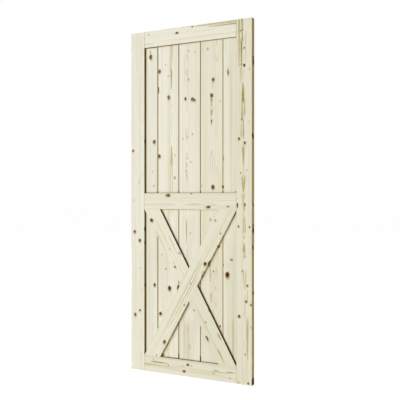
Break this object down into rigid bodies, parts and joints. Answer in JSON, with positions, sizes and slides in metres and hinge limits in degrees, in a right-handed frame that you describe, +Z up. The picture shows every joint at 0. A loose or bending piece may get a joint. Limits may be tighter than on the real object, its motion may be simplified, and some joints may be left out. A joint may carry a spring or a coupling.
{
  "type": "barn door slab",
  "caption": "Tall bare knotty-pine sliding barn door leaf: stile-and-rail frame, V-joint planks, middle rail and an X brace below it, grooved along the bottom for a floor guide.",
  "frame": {"origin": "centre of the door's bottom edge, in the middle of its thickness", "axes": "+Z up, +X to the right as seen from the face, -Y out of the face with the X brace"},
  "size_m": [0.838, 0.035, 2.134],
  "materials": {
    "frame_pine": "bare sanded pine with knots",
    "plank_pine": "bare sanded pine with knots",
    "brace_pine": "bare sanded pine with knots",
    "dowel_wood": "plain turned hardwood",
    "screw_zinc": "zinc plated"
  },
  "bodies": {
    "root": {"left_stile": "frame_pine", "right_stile": "frame_pine", "top_rail": "frame_pine", "middle_rail": "frame_pine", "bottom_rail": "frame_pine", "plank_1": "plank_pine", "plank_2": "plank_pine", "plank_3": "plank_pine", "plank_4": "plank_pine", "plank_5": "plank_pine", "long_brace": "brace_pine", "upper_brace": "brace_pine", "lower_brace": "brace_pine", "top_rail_dowels": "dowel_wood", "bottom_rail_dowels": "dowel_wood", "middle_rail_screws": "screw_zinc", "long_brace_screws": "screw_zinc", "upper_brace_screws": "screw_zinc", "lower_brace_screws": "screw_zinc"}
  },
  "joints": []
}
